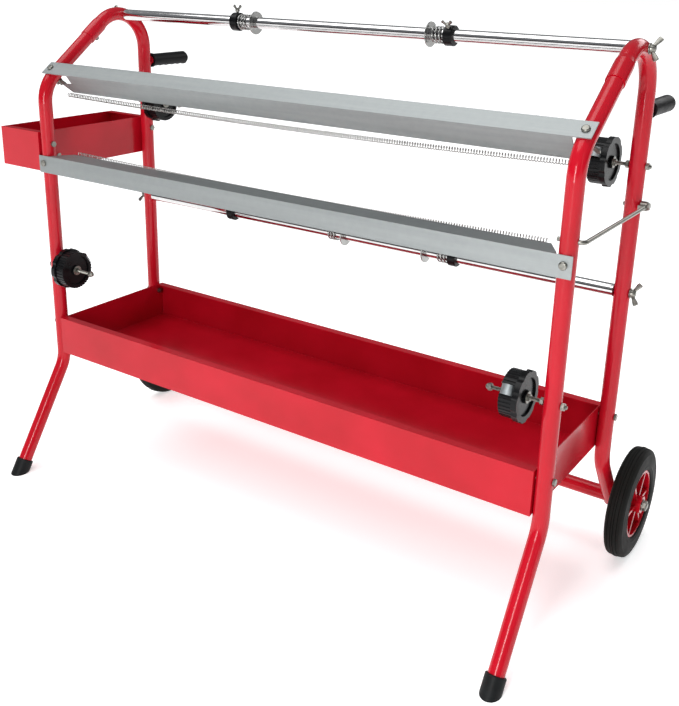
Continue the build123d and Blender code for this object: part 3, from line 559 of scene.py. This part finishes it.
rods, nuts = [], []
for side, outward in outwards.items():
    tip_x = spindle_high.x if side == "right" else spindle_low.x
    for level in LEVELS:
        hub = centre(f"{level}_{side}_spool_hub")
        start = Vector((tip_x, hub.y, hub.z))
        rods.append(threaded(start, -outward, SPINDLE - ACORN + 0.5 * MM, M6 / 2))
        cap = start - outward * (SPINDLE - ACORN)
        rods.append(hexagon(cap, -outward, HEX_ACROSS, ACORN))
        dome = [(ACORN - 0.6 * MM, 0.0), (ACORN - 0.6 * MM, DOME), (ACORN, 4.5 * MM)]
        dome += [
            (ACORN + DOME * sin(radians(angle)), 4.55 * MM * cos(radians(angle)))
            for angle in range(10, 90, 10)
        ]
        dome.append((ACORN + DOME, 0.0))
        rods.append(lathe("dome", cap, -outward, dome, 32))
        for way in (1, -1):
            face = Vector((tube_x[side], hub.y, hub.z)) + outward * (way * (TUBE_R + SEAT))
            turn = Vector((0, 0.35 * way, 1.0))
            nuts.append(
                hexagon(face, outward * way, HEX_ACROSS, NUT_HEIGHT, turn, M6 / 2 + SEAT)
            )
finish_piece(join("threaded_spindles", rods, 40.0), ["roll_spindles"], slot_of["roll_spindles"])
finish_piece(join("spindle_hexagon_nuts", nuts, 25.0), ["spindle_nuts"], slot_of["spindle_nuts"])

# Washer and nut outside each hub; inside it a wing nut (right) or the same again (left).
HUB_WASHER = 1.2 * MM
HUB_GAP = 0.3 * MM
HUB_NUT_HEIGHT = 3.2 * MM
for side, outward in outwards.items():
    for level in LEVELS:
        node = f"{level}_{side}_hub_nuts"
        hub = centre(f"{level}_{side}_spool_hub")
        spool_low, spool_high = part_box(f"{level}_{side}_spool_hub")
        half = (spool_high.x - spool_low.x) / 2 + HUB_GAP
        outer = hub + outward * half
        inner = hub - outward * half
        bore = M6 / 2 + 0.05 * MM
        washer = [(0.0, bore), (0.0, 8.8 * MM), (0.2 * MM, 9.0 * MM), (1.0 * MM, 9.0 * MM),
                  (HUB_WASHER, 8.8 * MM), (HUB_WASHER, bore)]
        tilt = Vector((0, 0.4, 1.0))
        pieces = [
            lathe("washer", outer, outward, washer, 48, True),
            hexagon(outer + outward * HUB_WASHER, outward, HEX_ACROSS, HUB_NUT_HEIGHT,
                    tilt, bore),
        ]
        if side == "right":
            boss = [(0.0, bore), (0.0, 5.3 * MM), (0.4 * MM, 5.6 * MM), (5.6 * MM, 4.6 * MM),
                    (7.0 * MM, 4.1 * MM), (7.0 * MM, bore)]
            pieces.append(lathe("boss", inner, -outward, boss, 32, True))
            lean = Vector((0, sin(radians(20)), cos(radians(20))))
            pieces += wing_pair(inner, -outward, lean, 5.5 * MM, 3.4 * MM, 12.6 * MM, 11.0 * MM,
                                5.6 * MM, 2.2 * MM)
        else:
            pieces.append(lathe("washer", inner, -outward, washer, 48, True))
            pieces.append(
                hexagon(inner - outward * HUB_WASHER, -outward, HEX_ACROSS, NUT_HEIGHT,
                        tilt, bore)
            )
        finish_piece(join(f"{level}_{side}_hub_hardware", pieces, 35.0), [node], slot_of[node])

# Wing bolts in the ends of the tape tubes, leaning to the back.
THREAD_IN_TUBE = 8.0 * MM
washer = [(0.0, 0.0), (0.0, 7.8 * MM), (0.2 * MM, 8.0 * MM), (1.4 * MM, 8.0 * MM),
          (1.6 * MM, 7.8 * MM), (1.6 * MM, 0.0)]
boss = [(1.5 * MM, 0.0), (1.5 * MM, 5.6 * MM), (2.0 * MM, 6.0 * MM), (7.4 * MM, 5.2 * MM),
        (8.6 * MM, 4.2 * MM), (9.0 * MM, 2.6 * MM), (9.0 * MM, 0.0)]
lean = Vector((0, sin(radians(28)), cos(radians(28))))
bolts = []
for tape_level in ("top", "lower"):
    axis_point = centre(f"{tape_level}_left_ring")
    for side, outward in outwards.items():
        face = Vector((tube_x[side], axis_point.y, axis_point.z)) + outward * (TUBE_R + SEAT)
        bolts.append(lathe("washer", face, outward, washer, 40))
        bolts.append(lathe("boss", face, outward, boss, 40))
        bolts += wing_pair(face, outward, lean, 6.0 * MM, 4.5 * MM, 17.0 * MM, 13.2 * MM,
                           8.4 * MM, 2.4 * MM)
        through_tube = 2 * TUBE_R + 2 * SEAT
        bolts.append(threaded(face, -outward, through_tube + THREAD_IN_TUBE, M6 / 2))
finish_piece(join("tape_wing_bolts", bolts, 35.0), ["tape_tube_wing_bolts"],
             slot_of["tape_tube_wing_bolts"])

# Thumb screws in the tape stops, each leaning to the front by its angle in degrees.
SCREW_FOOT = 10.3 * MM  # from the tube's axis
SCREW_HEAD = 7.5 * MM  # from the foot
boss = [(0.0, 0.0), (0.0, 3.6 * MM), (0.4 * MM, 4.0 * MM), (5.0 * MM, 3.7 * MM),
        (6.2 * MM, 3.0 * MM), (6.5 * MM, 0.0)]
LEANS = {"top_left": 0.0, "top_right": 38.0, "lower_left": 0.0, "lower_right": 20.0}
for name, lean in LEANS.items():
    node = f"{name}_collar_screw"
    collar = centre(f"{name}_collar")
    up = Vector((0, -sin(radians(lean)), cos(radians(lean))))
    tip = collar + up * SCREW_FOOT
    head = tip + up * SCREW_HEAD
    pieces = [
        threaded(tip, up, 9.0 * MM, 2.5 * MM, 0.8 * MM, 0.35 * MM),
        lathe("boss", head, up, boss, 32),
    ]
    pieces += wing_pair(head, up, ALONG_X, 4.0 * MM, 4.2 * MM, 8.2 * MM, 10.6 * MM,
                        5.4 * MM, 2.0 * MM)
    finish_piece(join(node + "_stamped", pieces, 35.0), [node], slot_of[node])

# ---------------------------------------------------------------- long paper springs
SPRING_WIRE = 0.7 * MM
SPRING_PITCH = 4.3 * MM  # stretched, so the turns stand apart
for level in LEVELS:
    node = f"{level}_paper_spring"
    low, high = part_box(node)
    coil_r = (high.y - low.y) / 2
    sag = (high.z - low.z) - 2 * coil_r
    start = Vector((low.x, (low.y + high.y) / 2, high.z - coil_r))
    length = high.x - low.x
    turns = length / SPRING_PITCH
    points = helix(start, ALONG_X, length, coil_r - SPRING_WIRE, turns, 12, sag)
    spring = tube(f"{level}_long_coil", points, SPRING_WIRE, 6)
    finish_piece(spring, [node], "spring_steel")

# ---------------------------------------------------------------- tape tube coils
COIL_WIRE = 1.45 * MM
COIL_TURNS = 3.0
for name in HOLDERS:
    node = f"{name}_coil_spring"
    low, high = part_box(node)
    coil_r = (high.z - low.z) / 2 - COIL_WIRE
    start = Vector((low.x + COIL_WIRE, (low.y + high.y) / 2, (low.z + high.z) / 2))
    length = high.x - low.x - 2 * COIL_WIRE
    points = helix(start, ALONG_X, length, coil_r, COIL_TURNS, 28)
    coil = tube(f"{name}_coil", points, COIL_WIRE, 10)
    finish_piece(coil, [node], "spring_steel", "polished_wire")

# ---------------------------------------------------------------- camera, lights, floor
camera_data = bpy.data.cameras.new("camera")
camera = bpy.data.objects.new("camera", camera_data)
bpy.context.scene.collection.objects.link(camera)
camera.location = (0.95964, -1.28819, 0.96695)
camera.rotation_euler = Euler((radians(71.515), radians(-1.252), radians(34.538)), "XYZ")
camera_data.sensor_fit = "HORIZONTAL"
camera_data.sensor_width = 36.0
camera_data.lens = 49.99
camera_data.shift_y = -0.1044
bpy.context.scene.camera = camera


def area_light(name, place, target, size, power):
    """Soft rectangular light that looks at a target."""
    data = bpy.data.lights.new(name, "AREA")
    data.shape = "RECTANGLE"
    data.size, data.size_y = size
    data.energy = power
    light = bpy.data.objects.new(name, data)
    bpy.context.scene.collection.objects.link(light)
    light.location = place
    direction = Vector(target) - Vector(place)
    light.rotation_euler = direction.to_track_quat("-Z", "Y").to_euler()


area_light("window", (0.7, -2.9, 1.0), (0.35, 0.0, 0.35), (0.45, 1.3), 42.0)
area_light("fill", (3.0, -1.4, 1.5), (0.0, 0.0, 0.5), (0.4, 1.8), 2.0)
area_light("rim", (1.0, 2.8, 2.2), (0.0, 0.0, 0.5), (2.0, 1.0), 22.0)
sun_data = bpy.data.lights.new("soft_sun", "SUN")
sun_data.energy = 1.9
sun_data.angle = radians(55.0)
sun = bpy.data.objects.new("soft_sun", sun_data)
bpy.context.scene.collection.objects.link(sun)
sun.rotation_euler = Vector((0.30, 0.22, -1.0)).to_track_quat("-Z", "Y").to_euler()

# The camera sees a white room; the object is lit by a greyer one, darker low down.
world = bpy.data.worlds.new("studio")
world.use_nodes = True
sky = world.node_tree
surroundings = sky.nodes["Background"]
surroundings.inputs["Strength"].default_value = 0.36
seen = sky.nodes.new("ShaderNodeBackground")
seen.inputs["Color"].default_value = (1.0, 1.0, 1.0, 1.0)
seen.inputs["Strength"].default_value = 1.0
height = sky.nodes.new("ShaderNodeSeparateXYZ")
sky.links.new(sky.nodes.new("ShaderNodeTexCoord").outputs["Generated"], height.inputs["Vector"])
shades = ramp(
    sky,
    height.outputs["Z"],
    [
        (0.0, (0.07, 0.06, 0.06)),
        (0.16, (0.16, 0.15, 0.15)),
        (0.34, (0.55, 0.58, 0.62)),
        (1.0, (0.95, 0.98, 1.0)),
    ],
)
sky.links.new(shades, surroundings.inputs["Color"])
chooser = sky.nodes.new("ShaderNodeMixShader")
rays = sky.nodes.new("ShaderNodeLightPath")
sky.links.new(rays.outputs["Is Camera Ray"], chooser.inputs["Fac"])
sky.links.new(surroundings.outputs["Background"], chooser.inputs[1])
sky.links.new(seen.outputs["Background"], chooser.inputs[2])
sky.links.new(chooser.outputs["Shader"], sky.nodes["World Output"].inputs["Surface"])
bpy.context.scene.world = world
bpy.context.scene.view_settings.view_transform = "Standard"

floor_material, tree, shader, place = new_material("floor_paper")
tone = ramp(tree, noise(tree, place, 1.5), [(0.3, (0.90, 0.90, 0.90)), (0.7, (0.93, 0.93, 0.93))])
tree.links.new(tone, shader.inputs["Base Color"])
shader.inputs["Roughness"].default_value = 0.9
shader.inputs["Specular IOR Level"].default_value = 0.1
shader.inputs["Emission Color"].default_value = (1.0, 1.0, 1.0, 1.0)
shader.inputs["Emission Strength"].default_value = 0.50
bpy.ops.mesh.primitive_plane_add(size=60.0, location=(0, 0, 0))
floor = bpy.context.object
floor.name = "studio_floor"
floor.data.materials.append(floor_material)
